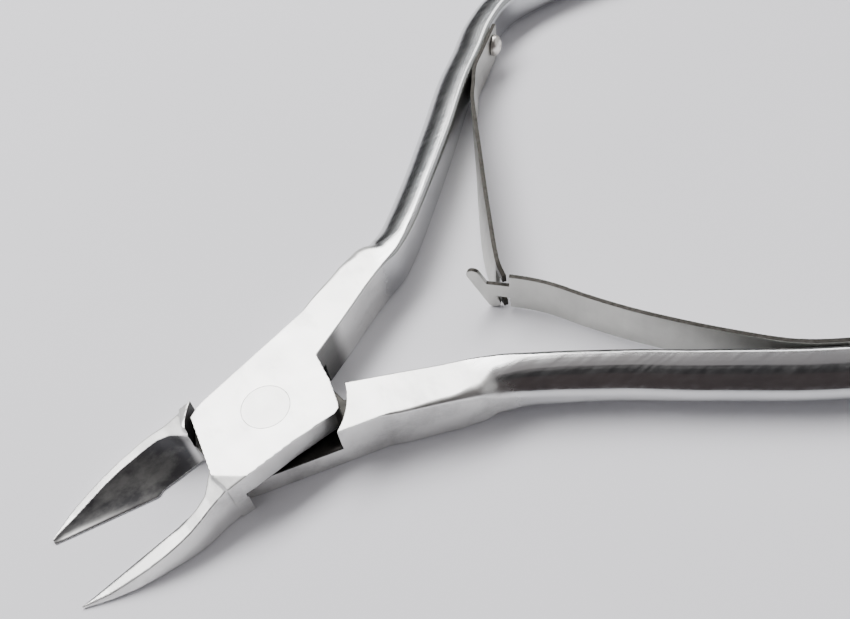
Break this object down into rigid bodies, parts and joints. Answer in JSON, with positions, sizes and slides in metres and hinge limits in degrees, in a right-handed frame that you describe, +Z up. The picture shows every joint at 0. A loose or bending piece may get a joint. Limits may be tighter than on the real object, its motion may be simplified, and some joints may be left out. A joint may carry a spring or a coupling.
{
  "type": "cuticle nipper",
  "caption": "Steel cuticle nipper with a flush riveted lap joint, pointed hollow-ground jaws and hooked leaf springs that hold the handles open.",
  "frame": {"origin": "on the pivot axis, in the flat underside plane that the nipper rests on", "axes": "+X along the centre line towards the handles, +Y towards the upper lever's handle, +Z up along the pivot axis"},
  "size_m": [0.1145, 0.0856, 0.0058],
  "materials": {
    "lever_steel": "satin joint and shanks, polished handles",
    "spring_steel": "matte strip with sheared edges",
    "screw_steel": "polished dome"
  },
  "bodies": {
    "lower_lever": {"lower_lever": "lever_steel", "pivot_rivet": "lever_steel", "lower_spring_screw": "screw_steel"},
    "upper_lever": {"upper_lever": "lever_steel", "upper_spring_screw": "screw_steel"},
    "hammer_spring": {"hammer_spring": "spring_steel"},
    "slotted_spring": {"slotted_spring": "spring_steel"}
  },
  "joints": [
    {"name": "pivot", "type": "hinge", "parent": "lower_lever", "child": "upper_lever", "pos_m": [0, 0, 0.0029], "axis": [0, 0, -1], "range_deg": [0, 18], "stiffness_Nm_per_rad": 0.6},
    {"name": "hammer_spring_bend", "type": "hinge", "parent": "lower_lever", "child": "hammer_spring", "pos_m": [0.0437, -0.0252, 0.0029], "axis": [0, 0, 1], "range_deg": [0, 14], "deforming": ["hammer_spring"]},
    {"name": "slotted_spring_bend", "type": "hinge", "parent": "upper_lever", "child": "slotted_spring", "pos_m": [0.0437, 0.0252, 0.0029], "axis": [0, 0, -1], "range_deg": [0, 12], "deforming": ["slotted_spring"]}
  ],
  "couplings": [
    {"joint": "hammer_spring_bend", "follows": "pivot", "ratio": 0.736},
    {"joint": "slotted_spring_bend", "follows": "pivot", "ratio": 0.592}
  ]
}
